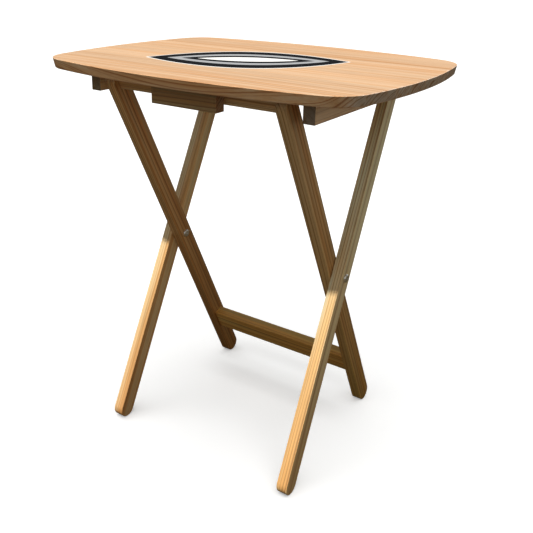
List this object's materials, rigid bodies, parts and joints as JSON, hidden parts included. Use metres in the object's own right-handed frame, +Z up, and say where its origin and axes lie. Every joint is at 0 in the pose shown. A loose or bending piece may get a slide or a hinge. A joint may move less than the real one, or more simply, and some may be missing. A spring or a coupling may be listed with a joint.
{
  "type": "folding tray table",
  "caption": "Folding wooden tray table: a bowed, rounded-corner top glued up from boards on a scissor stand of four round-ended legs, joined by a rail and a stretcher",
  "frame": {"origin": "on the floor, under the middle of the top", "axes": "+Z up, +X along the long side of the top to the right, +Y to the rear, so the catch block is at the front"},
  "size_m": [0.595, 0.4638, 0.66],
  "materials": {
    "top_wood": "satin",
    "frame_wood": "satin",
    "dowel_wood": "matte",
    "screw_steel": "satin",
    "pivot_steel": "satin",
    "washer_plastic": "matte"
  },
  "bodies": {
    "tabletop": {"top_board_1": "top_wood", "top_board_2": "top_wood", "top_board_3": "top_wood", "top_board_4": "top_wood", "top_board_5": "top_wood", "top_board_6": "top_wood", "top_board_7": "top_wood", "cleat_left": "frame_wood", "cleat_right": "frame_wood", "catch_block": "frame_wood", "cleat_screws": "screw_steel", "catch_screws": "screw_steel"},
    "outer_leg_left": {"outer_leg_left": "frame_wood"},
    "outer_leg_right": {"outer_leg_right": "frame_wood"},
    "inner_frame": {"inner_leg_left": "frame_wood", "inner_leg_right": "frame_wood", "top_rail": "frame_wood", "stretcher": "frame_wood", "rail_dowels": "dowel_wood", "stretcher_dowels": "dowel_wood", "leg_pivot_bolts": "pivot_steel", "leg_pivot_nuts": "pivot_steel", "leg_pivot_washers": "washer_plastic"},
    "top_pivots": {"top_pivot_bolts": "pivot_steel", "top_pivot_nuts": "pivot_steel", "top_pivot_washers": "washer_plastic"}
  },
  "joints": [
    {"name": "leg_fold_left", "type": "hinge", "parent": "inner_frame", "child": "outer_leg_left", "pos_m": [0, -0.005, 0.32175], "axis": [1, 0, 0], "range_deg": [0, 52.6]},
    {"name": "leg_fold_right", "type": "hinge", "parent": "inner_frame", "child": "outer_leg_right", "pos_m": [0, -0.005, 0.32175], "axis": [1, 0, 0], "range_deg": [0, 52.6]},
    {"name": "top_ride", "type": "hinge", "parent": "outer_leg_left", "child": "top_pivots", "pos_m": [0, 0.14636, 0.628], "axis": [-1, 0, 0], "range_deg": [0, 26.3]},
    {"name": "top_lift", "type": "hinge", "parent": "top_pivots", "child": "tabletop", "pos_m": [0, 0.14636, 0.628], "axis": [-1, 0, 0], "range_deg": [0, 90]}
  ],
  "couplings": [
    {"joint": "leg_fold_right", "follows": "leg_fold_left", "ratio": 1},
    {"joint": "top_ride", "follows": "leg_fold_left", "ratio": 0.5}
  ]
}
